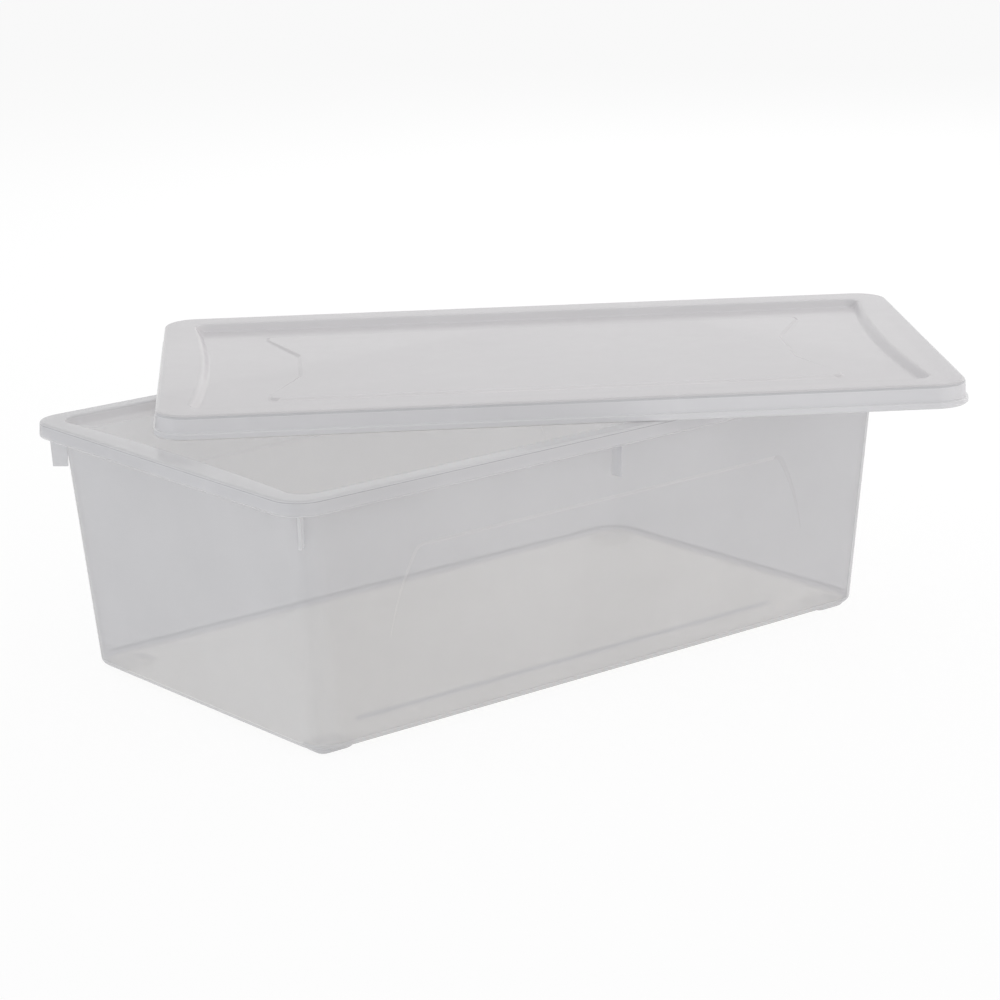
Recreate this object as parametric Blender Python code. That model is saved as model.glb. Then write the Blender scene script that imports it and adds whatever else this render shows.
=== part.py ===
"""Clear storage box: an open moulded tub, and its loose lid laid askew across the rim.

The tub is one thin shell. Its drafted walls rise from a floor on four hollow corner feet to a
flat rim with a down-turned skirt, and thin webs and gussets stiffen the rim from below. The lid
is a shallow cap of the same wall, with a recess that takes the feet of a box stacked on it.

Lengths are in metres and angles in radians, with +X along the tub and +Z up. The origin is the
middle of the underside of the box that the whole object fills as it lies.
"""

import math

import bmesh
import bpy
from mathutils import Matrix, Vector

# Shell of both mouldings
WALL = 0.0015
CORNER_STEPS = 8
END_STEPS = 5
EDGE_STEPS = 3
OVERRUN = 0.003
BITE = 0.0004
SHARP_ANGLE = math.radians(30)

# Tub over its rim
RIM_LENGTH = 0.3552
RIM_WIDTH = 0.2039
RIM_RADIUS = 0.0138
RIM_EDGE_RADIUS = 0.0011
TUB_HEIGHT = 0.117
SKIRT_DROP = 0.007
SKIRT_FLARE = 0.0003

# Mouth of the tub, whose two ends bow inwards
END_FLANGE = 0.0095
SIDE_FLANGE = 0.009
MOUTH_BOW = 0.0038
MOUTH_RADIUS = 0.009
MOUTH_EDGE_RADIUS = 0.0008

# Base of the tub, with straight ends
BASE_LENGTH = 0.3213
BASE_WIDTH = 0.1771
BASE_RADIUS = 0.014
HEEL_RADIUS = 0.003
FLOOR_EDGE_RADIUS = 0.002

# Hollow feet under the four corners of the base
FOOT_HEIGHT = 0.0025
FOOT_LENGTH = 0.021
FOOT_WIDTH = 0.016
FOOT_RADIUS = 0.0055
FOOT_INSET = 0.0045
FOOT_TAPER = 0.0006

# Raised panel in the middle of the floor, notched at both ends
FLOOR_PANEL_RISE = 0.001
FLOOR_PANEL_LENGTH = 0.257
FLOOR_PANEL_WIDTH = 0.132
NOTCH_DEPTH = 0.0145
NOTCH_MOUTH = 0.119
NOTCH_BOTTOM = 0.041
PANEL_RADIUS = 0.003

# Panel pressed into each long wall, deepest along its top and fading out below
WALL_PANEL_DEPTH = 0.0006
WALL_PANEL_TOP = 0.0855
WALL_PANEL_FADE = 0.036
WALL_PANEL_TOP_WIDTH = 0.212
WALL_PANEL_FOOT_WIDTH = 0.255
WALL_PANEL_RADIUS = 0.007
WALL_PANEL_SWELL = 0.0016

# Webs under the flange, at the corners and at the middle of each long side
WEB_THICKNESS = 0.0012
WEB_DROP = 0.0218
WEB_REACH = 0.0058
WEB_FOOT_REACH = 0.005

# Short gussets inside the skirt of each end
GUSSET_THICKNESS = 0.001
END_GUSSET_SPACING = 0.0732

# Lid, a close fit over the rim's sides with a little more play at its ends
LID_FIT = 0.0002
LID_END_FIT = 0.0007
LID_HEIGHT = 0.0108
LID_EDGE_RADIUS = 0.001
LID_DRAFT = 0.0002
LIP_HEIGHT = 0.0031
LIP_STEP = 0.0014

# Stacking recess in the lid, whose ends bow inwards, with a notched panel like the floor's
BORDER_END = 0.0138
BORDER_SIDE = 0.0141
RECESS_BOW = 0.0064
RECESS_RADIUS = 0.007
RECESS_DEPTH = 0.0035
RECESS_SLOPE = 0.004
RECESS_EDGE_RADIUS = 0.0008
LID_PANEL_RISE = 0.0006
LID_PANEL_LENGTH = 0.261
LID_PANEL_WIDTH = 0.136
LID_GUSSET_SPACING = 0.0984
LID_GUSSET_DROP = 0.0071

# How the lid lies on the rim
LID_TURN = math.radians(-34.8)
LID_SHIFT_X = 0.0468
LID_SHIFT_Y = 0.0072
LID_GAP = 0.0003

# Finishes
TUB_COLOUR = (0.8, 0.81, 0.83, 0.4)
TUB_ROUGHNESS = 0.25
LID_COLOUR = (0.83, 0.83, 0.84, 0.4)
LID_ROUGHNESS = 0.2


def clear_scene():
    """Remove every object that the file starts with."""
    for thing in list(bpy.data.objects):
        bpy.data.objects.remove(thing, do_unlink=True)


def make_collection(name):
    """Return a new collection linked to the scene."""
    collection = bpy.data.collections.new(name)
    bpy.context.scene.collection.children.link(collection)
    return collection


def make_material(name, colour, roughness):
    """Return a clear plastic finish."""
    material = bpy.data.materials.new(name)
    material.use_nodes = True
    shader = material.node_tree.nodes["Principled BSDF"]
    shader.inputs["Base Color"].default_value = colour
    shader.inputs["Roughness"].default_value = roughness
    shader.inputs["Metallic"].default_value = 0.0
    shader.inputs["Alpha"].default_value = colour[3]
    return material


def section(half_length, half_width, radius, bow, height):
    """Return one closed loop: a rounded rectangle whose ends bow inwards in the middle."""
    centre_y = half_width - radius
    lean = math.atan2(2 * bow * centre_y, half_width ** 2)
    start_y = centre_y - radius * math.sin(lean)

    def end_x(y):
        return half_length - bow * (1 - (y / half_width) ** 2)

    centre_x = end_x(start_y) - radius * math.cos(lean)
    quarter = []
    for step in range(END_STEPS):
        y = start_y * step / END_STEPS
        quarter.append((end_x(y), y))
    for step in range(CORNER_STEPS + 1):
        angle = -lean + (math.pi / 2 + lean) * step / CORNER_STEPS
        quarter.append((centre_x + radius * math.cos(angle), centre_y + radius * math.sin(angle)))
    loop = list(quarter)
    loop += [(-x, y) for x, y in reversed(quarter)]
    loop += [(-x, -y) for x, y in quarter[1:]]
    loop += [(x, -y) for x, y in reversed(quarter[1:])]
    return [Vector((x, y, height)) for x, y in loop]


def bend(start, end, steps=EDGE_STEPS):
    """Return the shares of a quarter circle that turns from one direction into another."""
    angles = [start + (end - start) * step / steps for step in range(steps + 1)]
    return [(math.cos(angle), math.sin(angle)) for angle in angles]


def loft(name, sections, collection):
    """Return a closed shell skinned through loops of equal count, with flat end caps."""
    bm = bmesh.new()
    rings = [[bm.verts.new(point) for point in points] for points in sections]
    for first, second in zip(rings, rings[1:]):
        for index in range(len(first)):
            bm.faces.new((first[index - 1], first[index], second[index], second[index - 1]))
    bm.faces.new(rings[0])
    bm.faces.new(rings[-1])
    bmesh.ops.recalc_face_normals(bm, faces=bm.faces)
    return finish_mesh(name, bm, collection)


def finish_mesh(name, bm, collection):
    """Turn a bmesh into an object in a collection."""
    mesh = bpy.data.meshes.new(name)
    bm.to_mesh(mesh)
    bm.free()
    thing = bpy.data.objects.new(name, mesh)
    collection.objects.link(thing)
    return thing


def rounded_outline(corners, radius, steps=EDGE_STEPS):
    """Return a polygon's corners, each replaced by a short arc of about the radius."""
    points = []
    count = len(corners)
    for index, corner in enumerate(corners):
        corner = Vector(corner)
        before = (Vector(corners[index - 1]) - corner).normalized()
        after = (Vector(corners[(index + 1) % count]) - corner).normalized()
        half_angle = before.angle(after) / 2
        reach = radius / math.tan(half_angle)
        for step in range(steps + 1):
            share = step / steps
            first = corner + before * reach * (1 - share)
            second = corner + after * reach * share
            points.append(first.lerp(second, share))
    return points


def add_prism(bm, outline, place):
    """Add a closed prism: the outline gives (x, y) pairs, and place maps (x, y, side) to space."""
    front = [bm.verts.new(place(point[0], point[1], 0)) for point in outline]
    back = [bm.verts.new(place(point[0], point[1], 1)) for point in outline]
    sides = []
    for verts in (front, back):
        sides.append([bm.edges.new(pair) for pair in zip(verts, verts[1:] + verts[:1])])
        bm.faces.new(verts)
    bmesh.ops.bridge_loops(bm, edges=sides[0] + sides[1])


def upright(low, high):
    """Return a placing that stands a flat outline between two heights."""
    return lambda x, y, side: (x, y, high if side else low)


def close_group(name, bm, collection):
    """Turn separate closed prisms into one object that a Boolean reads."""
    bmesh.ops.recalc_face_normals(bm, faces=bm.faces)
    thing = finish_mesh(name, bm, collection)
    thing.hide_render = True
    thing.display_type = "WIRE"
    return thing


def combine(target, operand, operation):
    """Add a Boolean that joins the operand to the target or cuts it away."""
    modifier = target.modifiers.new(operand.name, "BOOLEAN")
    modifier.operation = operation
    modifier.solver = "EXACT"
    modifier.object = operand


def shade(thing, material):
    """Give an object its material, with round faces smooth and real edges sharp."""
    thing.data.materials.append(material)
    thing.data.shade_smooth()
    thing.data.set_sharp_from_angle(angle=SHARP_ANGLE)


def tub_wall(height, inset=0.0):
    """Return a section of the tub's outer wall at a height, drawn in by the inset."""
    rise = (height - FOOT_HEIGHT) / (TUB_HEIGHT - FOOT_HEIGHT)
    mouth_length = RIM_LENGTH / 2 - END_FLANGE + WALL
    mouth_width = RIM_WIDTH / 2 - SIDE_FLANGE + WALL
    half_length = BASE_LENGTH / 2 + (mouth_length - BASE_LENGTH / 2) * rise
    half_width = BASE_WIDTH / 2 + (mouth_width - BASE_WIDTH / 2) * rise
    radius = BASE_RADIUS + (MOUTH_RADIUS + WALL - BASE_RADIUS) * rise
    return half_length - inset, half_width - inset, radius - inset, MOUTH_BOW * rise


def tub_sections():
    """Return the tub's loops, from the underside up the outside, over the rim and down inside."""
    loops = []
    for share, fall in bend(math.pi / 2, 0.0):
        height = FOOT_HEIGHT + HEEL_RADIUS * (1 - fall)
        loops.append(section(*tub_wall(height, HEEL_RADIUS * (1 - share)), height))
    flange_under = TUB_HEIGHT - WALL
    loops.append(section(*tub_wall(flange_under), flange_under))
    half_length, half_width = RIM_LENGTH / 2, RIM_WIDTH / 2
    skirt_foot = TUB_HEIGHT - SKIRT_DROP

    def rim(grow, height):
        return section(half_length + grow, half_width + grow, RIM_RADIUS + grow, 0.0, height)

    loops.append(rim(-WALL, flange_under))
    loops.append(rim(SKIRT_FLARE - WALL, skirt_foot))
    loops.append(rim(SKIRT_FLARE, skirt_foot))
    for share, fall in bend(0.0, math.pi / 2):
        loops.append(rim(RIM_EDGE_RADIUS * (share - 1), TUB_HEIGHT + RIM_EDGE_RADIUS * (fall - 1)))
    for share, fall in bend(math.pi / 2, 0.0):
        height = TUB_HEIGHT + MOUTH_EDGE_RADIUS * (fall - 1)
        loops.append(section(*tub_wall(height, WALL - MOUTH_EDGE_RADIUS * (1 - share)), height))
    floor = FOOT_HEIGHT + WALL
    for share, fall in bend(0.0, math.pi / 2):
        height = floor + FLOOR_EDGE_RADIUS * (1 - fall)
        loops.append(section(*tub_wall(height, WALL + FLOOR_EDGE_RADIUS * (1 - share)), height))
    return loops


def panel_outline(length, width, inset=0.0):
    """Return a long panel whose two ends are notched towards its middle."""
    x, y = length / 2 - inset, width / 2 - inset
    inner_x = x - NOTCH_DEPTH
    mouth_y, bottom_y = NOTCH_MOUTH / 2 - inset, NOTCH_BOTTOM / 2 + inset
    right = [(x, -y), (x, -mouth_y), (inner_x, -bottom_y), (inner_x, bottom_y), (x, mouth_y), (x, y)]
    left = [(-px, py) for px, py in reversed(right)]
    return rounded_outline(right + left, PANEL_RADIUS)


def foot_outline(sign_x, sign_y, inset):
    """Return one corner foot's outline, seen from above."""
    outer_x = BASE_LENGTH / 2 - FOOT_INSET
    outer_y = BASE_WIDTH / 2 - FOOT_INSET
    high_x, low_x = outer_x - inset, outer_x - FOOT_LENGTH + inset
    high_y, low_y = outer_y - inset, outer_y - FOOT_WIDTH + inset
    corners = [(low_x, low_y), (high_x, low_y), (high_x, high_y), (low_x, high_y)]
    rounded = rounded_outline(corners, FOOT_RADIUS - inset)
    return [(sign_x * x, sign_y * y) for x, y in rounded]


def foot_taper(outline, low, high):
    """Return a placing that stands a foot, drawn in a little towards its lower end."""
    centre = sum((Vector(point) for point in outline), Vector((0, 0))) / len(outline)
    reach = max(abs(point[0] - centre.x) for point in outline)
    shrink = 1 - FOOT_TAPER / reach

    def place(x, y, side):
        scale = 1 if side else shrink
        return (centre.x + (x - centre.x) * scale, centre.y + (y - centre.y) * scale, high if side else low)

    return place


def wall_panel_outline():
    """Return the pressed panel as (x, height) pairs: a trapezium with swollen sides."""
    top_x, foot_x = WALL_PANEL_TOP_WIDTH / 2, WALL_PANEL_FOOT_WIDTH / 2
    top, foot = WALL_PANEL_TOP, WALL_PANEL_FADE
    side = []
    for step in range(EDGE_STEPS + 1):
        share = step / EDGE_STEPS
        swell = WALL_PANEL_SWELL * math.sin(math.pi * share)
        side.append((foot_x + (top_x - foot_x) * share + swell, foot + (top - foot) * share))
    left = [(-x, z) for x, z in reversed(side)]
    upper = rounded_outline([side[-2], side[-1], left[0], left[1]], WALL_PANEL_RADIUS)
    arcs = upper[EDGE_STEPS + 1:-(EDGE_STEPS + 1)]
    return side[:-1] + [tuple(point) for point in arcs] + left[1:]


def wall_panel_place(sign_y, behind, beyond):
    """Return a placing from a face behind the wall to the panel's fading face."""

    def place(x, z, side):
        wall_y = tub_wall(z)[1] - behind
        share = (z - WALL_PANEL_FADE) / (WALL_PANEL_TOP - WALL_PANEL_FADE)
        face = wall_y - WALL_PANEL_DEPTH * share + BITE * (1 - share)
        return (x, sign_y * (face if side else wall_y + beyond), z)

    return place


def plate_place(origin, direction, thickness):
    """Return a placing that stands a plate on a vertical plane through a point."""
    along = Vector((math.cos(direction), math.sin(direction), 0))
    across = Vector((-along.y, along.x, 0)) * thickness / 2

    def place(reach, height, side):
        point = Vector((origin[0], origin[1], 0)) + along * reach + across * (1 if side else -1)
        return (point.x, point.y, height)

    return place


def web_outline():
    """Return a web as (reach, height) pairs, measured from the wall at the rim."""
    top = TUB_HEIGHT - WALL + BITE
    foot = TUB_HEIGHT - WEB_DROP
    lean = tub_wall(TUB_HEIGHT)[1] - tub_wall(foot)[1]
    root = -lean - WALL / 2
    return [(root, foot), (WEB_FOOT_REACH, foot), (WEB_REACH, TUB_HEIGHT - SKIRT_DROP), (WEB_REACH, top), (root, top)]


def web_roots():
    """Return where each web stands on the outer wall at the rim, with its direction."""
    half_length, half_width, radius, _ = tub_wall(TUB_HEIGHT)
    slant = radius * (1 - math.sqrt(2) / 2)
    corner_x, corner_y = half_length - slant, half_width - slant
    roots = [((0.0, half_width), math.pi / 2), ((0.0, -half_width), -math.pi / 2)]
    for sign_x in (1, -1):
        for sign_y in (1, -1):
            roots.append(((sign_x * corner_x, sign_y * corner_y), math.atan2(sign_y, sign_x)))
    return roots


def add_end_gussets(bm):
    """Add the short gussets between each end wall and the skirt outside it."""
    top = TUB_HEIGHT - WALL + BITE
    foot = TUB_HEIGHT - SKIRT_DROP + BITE
    half_length, half_width, _, bow = tub_wall(foot)
    y = END_GUSSET_SPACING / 2
    wall_x = half_length - bow * (1 - (y / half_width) ** 2)
    root = -WALL / 2
    reach = RIM_LENGTH / 2 - WALL / 2 - wall_x
    outline = [(root, foot), (reach, foot), (reach, top), (root, top)]
    for sign_x in (1, -1):
        for sign_y in (1, -1):
            direction = 0.0 if sign_x > 0 else math.pi
            add_prism(bm, outline, plate_place((sign_x * wall_x, sign_y * y), direction, GUSSET_THICKNESS))


def build_tub(collection, cutters, material):
    """Build the tub: the lofted shell, then what is moulded onto it and pressed into it."""
    tub = loft("tub", tub_sections(), collection)
    floor = FOOT_HEIGHT + WALL

    added = bmesh.new()
    panel = panel_outline(FLOOR_PANEL_LENGTH, FLOOR_PANEL_WIDTH)
    add_prism(added, panel, upright(floor - BITE, floor + FLOOR_PANEL_RISE))
    for sign_x in (1, -1):
        for sign_y in (1, -1):
            outline = foot_outline(sign_x, sign_y, 0.0)
            add_prism(added, outline, foot_taper(outline, 0.0, FOOT_HEIGHT + BITE))
    for sign_y in (1, -1):
        add_prism(added, wall_panel_outline(), wall_panel_place(sign_y, WALL, WALL / 2))
    for origin, direction in web_roots():
        add_prism(added, web_outline(), plate_place(origin, direction, WEB_THICKNESS))
    add_end_gussets(added)
    combine(tub, close_group("tub_added", added, cutters), "UNION")

    cut = bmesh.new()
    hollow = panel_outline(FLOOR_PANEL_LENGTH, FLOOR_PANEL_WIDTH, WALL)
    add_prism(cut, hollow, upright(-OVERRUN, FOOT_HEIGHT + FLOOR_PANEL_RISE))
    for sign_x in (1, -1):
        for sign_y in (1, -1):
            outline = foot_outline(sign_x, sign_y, WALL)
            add_prism(cut, outline, foot_taper(outline, WALL, floor + OVERRUN))
    for sign_y in (1, -1):
        add_prism(cut, wall_panel_outline(), wall_panel_place(sign_y, 0.0, OVERRUN))
    combine(tub, close_group("tub_cut", cut, cutters), "DIFFERENCE")
    shade(tub, material)
    return tub


def lid_half_sizes():
    """Return the half length and half width of the lid's upper band."""
    return RIM_LENGTH / 2 + LID_END_FIT + WALL, RIM_WIDTH / 2 + LID_FIT + WALL


def lid_sections():
    """Return the lid's loops, from the underside of its middle, round the lip, to its top."""
    half_length, half_width = lid_half_sizes()
    recess_length = half_length - BORDER_END
    recess_width = half_width - BORDER_SIDE
    radius = RIM_RADIUS + LID_FIT + WALL
    recess_floor = LID_HEIGHT - RECESS_DEPTH

    def band(grow, height):
        return section(half_length + grow, half_width + grow, radius + grow, 0.0, height)

    def recess(grow, height):
        size = recess_length + grow, recess_width + grow, RECESS_RADIUS + grow
        return section(*size, RECESS_BOW, height)

    loops = []
    slope = [(step / EDGE_STEPS, step / EDGE_STEPS) for step in range(EDGE_STEPS + 1)]
    for share, rise in slope:
        ease = rise * rise * (3 - 2 * rise)
        grow = WALL / 2 - RECESS_SLOPE * (1 - share)
        loops.append(recess(grow, recess_floor - WALL + RECESS_DEPTH * ease))
    loops.append(band(-WALL, LID_HEIGHT - WALL))
    loops.append(band(-WALL + LID_DRAFT, LIP_HEIGHT - WALL))
    loops.append(band(LIP_STEP - WALL + LID_DRAFT, LIP_HEIGHT - WALL - LID_EDGE_RADIUS / 2))
    loops.append(band(LIP_STEP - WALL + LID_DRAFT, 0.0))
    loops.append(band(LIP_STEP, 0.0))
    loops.append(band(LIP_STEP, LIP_HEIGHT - LID_EDGE_RADIUS / 2))
    loops.append(band(LIP_STEP - LID_EDGE_RADIUS / 2, LIP_HEIGHT))
    loops.append(band(LID_DRAFT, LIP_HEIGHT + LID_EDGE_RADIUS / 2))
    for share, fall in bend(0.0, math.pi / 2):
        loops.append(band(LID_EDGE_RADIUS * (share - 1), LID_HEIGHT + LID_EDGE_RADIUS * (fall - 1)))
    loops.append(recess(RECESS_EDGE_RADIUS, LID_HEIGHT))
    for share, rise in reversed(slope):
        ease = rise * rise * (3 - 2 * rise)
        drop = RECESS_EDGE_RADIUS / 2 * rise
        loops.append(recess(-RECESS_SLOPE * (1 - share), recess_floor + RECESS_DEPTH * ease - drop))
    return loops


def build_lid(collection, cutters, material):
    """Build the lid: the lofted cap, its raised panel, and the gussets in its channel."""
    lid = loft("lid", lid_sections(), collection)
    _, half_width = lid_half_sizes()
    recess_floor = LID_HEIGHT - RECESS_DEPTH

    added = bmesh.new()
    panel = panel_outline(LID_PANEL_LENGTH, LID_PANEL_WIDTH)
    add_prism(added, panel, upright(recess_floor - BITE, recess_floor + LID_PANEL_RISE))
    foot = LID_HEIGHT - LID_GUSSET_DROP
    top = LID_HEIGHT - WALL + BITE
    inner = half_width - BORDER_SIDE
    outer = half_width - WALL / 2
    slope_foot = inner - RECESS_SLOPE / 2
    outline = [(slope_foot, foot), (outer, foot), (outer, top), (inner, top), (slope_foot, recess_floor)]
    for sign_x in (1, -1):
        for direction in (math.pi / 2, -math.pi / 2):
            origin = (sign_x * LID_GUSSET_SPACING / 2, 0.0)
            add_prism(added, outline, plate_place(origin, direction, GUSSET_THICKNESS))
    combine(lid, close_group("lid_added", added, cutters), "UNION")

    cut = bmesh.new()
    hollow = panel_outline(LID_PANEL_LENGTH, LID_PANEL_WIDTH, WALL)
    add_prism(cut, hollow, upright(-OVERRUN, recess_floor - WALL + LID_PANEL_RISE))
    combine(lid, close_group("lid_cut", cut, cutters), "DIFFERENCE")
    shade(lid, material)
    return lid


def turned_reach(half_length, half_width, radius, turn):
    """Return how far a turned rounded rectangle reaches along X and along Y."""
    along, across = abs(math.cos(turn)), abs(math.sin(turn))
    trim = radius * (along + across - 1)
    return half_length * along + half_width * across - trim, half_length * across + half_width * along - trim


def middle_of_object():
    """Return the middle, in plan, of the box that the tub and the askew lid fill together."""
    half_length, half_width = lid_half_sizes()
    radius = RIM_RADIUS + LID_FIT + WALL
    lid_reach = turned_reach(half_length + LIP_STEP, half_width + LIP_STEP, radius + LIP_STEP, LID_TURN)
    tub_reach = RIM_LENGTH / 2 + SKIRT_FLARE, RIM_WIDTH / 2 + SKIRT_FLARE
    middle = []
    for tub_half, lid_half, shift in zip(tub_reach, lid_reach, (LID_SHIFT_X, LID_SHIFT_Y)):
        low = min(-tub_half, shift - lid_half)
        high = max(tub_half, shift + lid_half)
        middle.append((low + high) / 2)
    return Vector((middle[0], middle[1], 0))


def main():
    """Build the tub and the lid, and lay the lid where it rests."""
    clear_scene()
    parts = make_collection("clear_storage_box")
    cutters = make_collection("cutters")
    tub = build_tub(parts, cutters, make_material("tub_plastic", TUB_COLOUR, TUB_ROUGHNESS))
    lid = build_lid(parts, cutters, make_material("lid_plastic", LID_COLOUR, LID_ROUGHNESS))
    middle = middle_of_object()
    tub_matrix = Matrix.Translation(-middle)
    seat = Vector((LID_SHIFT_X, LID_SHIFT_Y, TUB_HEIGHT + LID_GAP))
    lid_matrix = Matrix.Translation(seat - middle) @ Matrix.Rotation(LID_TURN, 4, "Z")
    tub.matrix_world = tub_matrix
    lid.matrix_world = lid_matrix
    for thing in cutters.objects:
        thing.matrix_world = lid_matrix if thing.name.startswith("lid") else tub_matrix


main()
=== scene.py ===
"""Looks of a clear storage box, a moulded tub with its loose lid lying askew across the rim.

The tub and the lid are each one skin of clear plastic. A skin is drawn as a run of loops: a first
loop of vertices is extruded from section to section, up the outside, over the edge and down the
inside, and the flat middles are filled round the outlines of the panels and feet pressed in them.
Lengths are in metres and angles in degrees. A pair of sizes runs along X and Y, and a size with
half in its name is measured from the middle.
"""

import logging
import math
from dataclasses import dataclass, replace
from enum import Enum
from typing import Callable, Iterable, Sequence

import bmesh
import bpy
from bmesh.types import BMEdge, BMesh, BMFace, BMVert
from bpy.types import ID, Material, Node, NodeSocket, Object, ShaderNodeTree
from mathutils import Matrix, Vector


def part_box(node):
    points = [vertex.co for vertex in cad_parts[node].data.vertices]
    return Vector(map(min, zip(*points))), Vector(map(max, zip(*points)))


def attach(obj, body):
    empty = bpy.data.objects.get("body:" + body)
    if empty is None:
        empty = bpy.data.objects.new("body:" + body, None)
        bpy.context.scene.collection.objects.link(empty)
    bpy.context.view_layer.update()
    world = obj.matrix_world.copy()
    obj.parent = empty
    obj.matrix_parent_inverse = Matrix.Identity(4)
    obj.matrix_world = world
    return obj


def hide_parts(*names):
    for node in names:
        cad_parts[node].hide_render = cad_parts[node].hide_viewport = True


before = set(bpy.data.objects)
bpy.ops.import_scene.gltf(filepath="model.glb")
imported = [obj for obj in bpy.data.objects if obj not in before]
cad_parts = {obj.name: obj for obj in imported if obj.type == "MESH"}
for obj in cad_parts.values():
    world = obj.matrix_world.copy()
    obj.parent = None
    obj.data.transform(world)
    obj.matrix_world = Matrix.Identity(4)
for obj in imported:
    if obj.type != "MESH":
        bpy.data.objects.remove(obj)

log = logging.getLogger("clear_storage_box")

Colour = tuple[float, float, float]
Pair = tuple[float, float]
Section = tuple["Zone", list[Vector]]

WHITE: Colour = (1.0, 1.0, 1.0)
SIGNS = (1, -1)
FOUR_CORNERS = tuple((sx, sy) for sx in SIGNS for sy in SIGNS)
EDGE_STEPS = 5


class Moulding(Enum):
    """The two mouldings, by the name of their CAD node and body."""

    TUB = "tub"
    LID = "lid"


class Zone(Enum):
    """The areas of a moulding that look different in the light, by their material's place in its list; many
    have that light or shade painted into their colour.

    The lid has the first ten alone.
    """

    WALL = 0  # The tub's walls, and the lid's flat faces.
    FLOOR = 1  # The tub's floor, painted lighter and warmer as the light and warm reflection on it, and the lid's rounded edge.
    RIM = 2  # The tub's rolled rim, and the lid's skirt.
    PLATE = 3  # The gussets, painted near white as the light that they catch edge-on.
    BRIGHT = 4  # Thin edges, painted lighter as the highlight that they catch.
    SHADE_LINE = 5  # The lines that a raised panel shows, and the insides of the feet, painted dark as shade.
    STEP = 6  # The slopes of the wall panels and of the recess; the tub's are painted a little lighter, as the light line that a slope shows.
    EDGE_SHADE = 7  # The thin dark line of painted shade along a rounded edge.
    FILLET = 8  # The tub floor's far edge, painted dark as shade, and the back slope of the lid's recess, painted lighter against its shade.
    HEEL = 9  # The tub's heel and feet, and the long slopes of the lid's panel, which are painted lighter against their shade.
    SKIRT = 10  # The skirt that hangs from the rim.
    CORNER = 11  # The middles of the two corners that are seen from the side, denser and painted darker as the shade along the outline.
    RIB = 12  # The webs in the middle of the long walls.
    WEB = 13  # The webs at the corners, painted lighter as the light line that a web shows edge-on.
    COLLAR = 14  # The band inside the back wall, close under the rim, painted lighter against the shade there.
    SHADE = 15  # The right slope of a wall panel, painted darker as shade.


class Lines(Enum):
    """Which part of a panel's sloping edge is painted as a dark line of shade."""

    ENDS = "ends"
    SIDES = "sides"


class Edge(Enum):
    """Which way a rounded edge turns, as the two angles that its arc runs between."""

    OUT_TO_TOP = (0.0, 90.0)
    TOP_TO_IN = (90.0, 0.0)

    def arc(self, radius: float) -> list[Pair]:
        """Return how far the points of the arc lie in from the sharp edge, sideways and downwards.

        Args:
            radius: The arc's radius.

        Returns:
            One pair for each point.
        """
        start, end = self.value
        angles = [math.radians(start + (end - start) * step / EDGE_STEPS) for step in range(EDGE_STEPS + 1)]
        return [(radius * (1 - math.cos(angle)), radius * (1 - math.sin(angle))) for angle in angles]


def ease(share: float) -> float:
    """Return how far an S-shaped slope has risen after a share of its width."""
    return share * share * (3 - 2 * share)


def add_object(name: str, data: ID) -> Object:
    """Add an object to the scene.

    Args:
        name: The object's name.
        data: Its mesh, lamp or camera.

    Returns:
        The object.
    """
    thing = bpy.data.objects.new(name, data)
    bpy.context.scene.collection.objects.link(thing)
    return thing


def add_mesh(name: str, mesh: BMesh, materials: Iterable[Material]) -> Object:
    """Turn a finished bmesh into an object in the scene.

    Args:
        name: The object's name.
        mesh: The bmesh, which is freed.
        materials: The object's materials, in their order.

    Returns:
        The object.
    """
    data = bpy.data.meshes.new(name)
    mesh.to_mesh(data)
    mesh.free()
    for material in materials:
        data.materials.append(material)
    return add_object(name, data)


@dataclass(frozen=True)
class Outline:
    """A rounded rectangle whose two ends bow inwards in the middle.

    Attributes:
        half_length: Half its size along X, at the corners.
        half_width: Half its size along Y.
        radius: Radius of the corners.
        bow: How far the middle of an end lies inside its corners.
    """

    half_length: float
    half_width: float
    radius: float
    bow: float = 0.0

    CORNER_STEPS = 14
    END_STEPS = 8

    def grown(self, by: float) -> "Outline":
        """Return the outline set outwards all round by a distance."""
        return replace(
            self,
            half_length=self.half_length + by,
            half_width=self.half_width + by,
            radius=self.radius + by,
        )

    def end_x(self, y: float) -> float:
        """Return how far out the end lies at a distance from the middle line."""
        return self.half_length - self.bow * (1 - (y / self.half_width) ** 2)

    def at(self, height: float) -> list[Vector]:
        """Return the outline's points at a height.

        Args:
            height: The points' Z.

        Returns:
            The points, anticlockwise seen from above.
        """
        centre_y = self.half_width - self.radius
        lean = math.atan2(2 * self.bow * centre_y, self.half_width**2)
        start_y = centre_y - self.radius * math.sin(lean)
        centre_x = self.end_x(start_y) - self.radius * math.cos(lean)
        quarter: list[Pair] = []
        for step in range(self.END_STEPS):
            y = start_y * step / self.END_STEPS
            quarter.append((self.end_x(y), y))
        for step in range(self.CORNER_STEPS + 1):
            angle = -lean + (math.pi / 2 + lean) * step / self.CORNER_STEPS
            x = centre_x + self.radius * math.cos(angle)
            y = centre_y + self.radius * math.sin(angle)
            quarter.append((x, y))
        loop = list(quarter)
        loop += [(-x, y) for x, y in reversed(quarter)]
        loop += [(-x, -y) for x, y in quarter[1:]]
        loop += [(x, -y) for x, y in reversed(quarter[1:])]
        return [Vector((x, y, height)) for x, y in loop]


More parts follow.
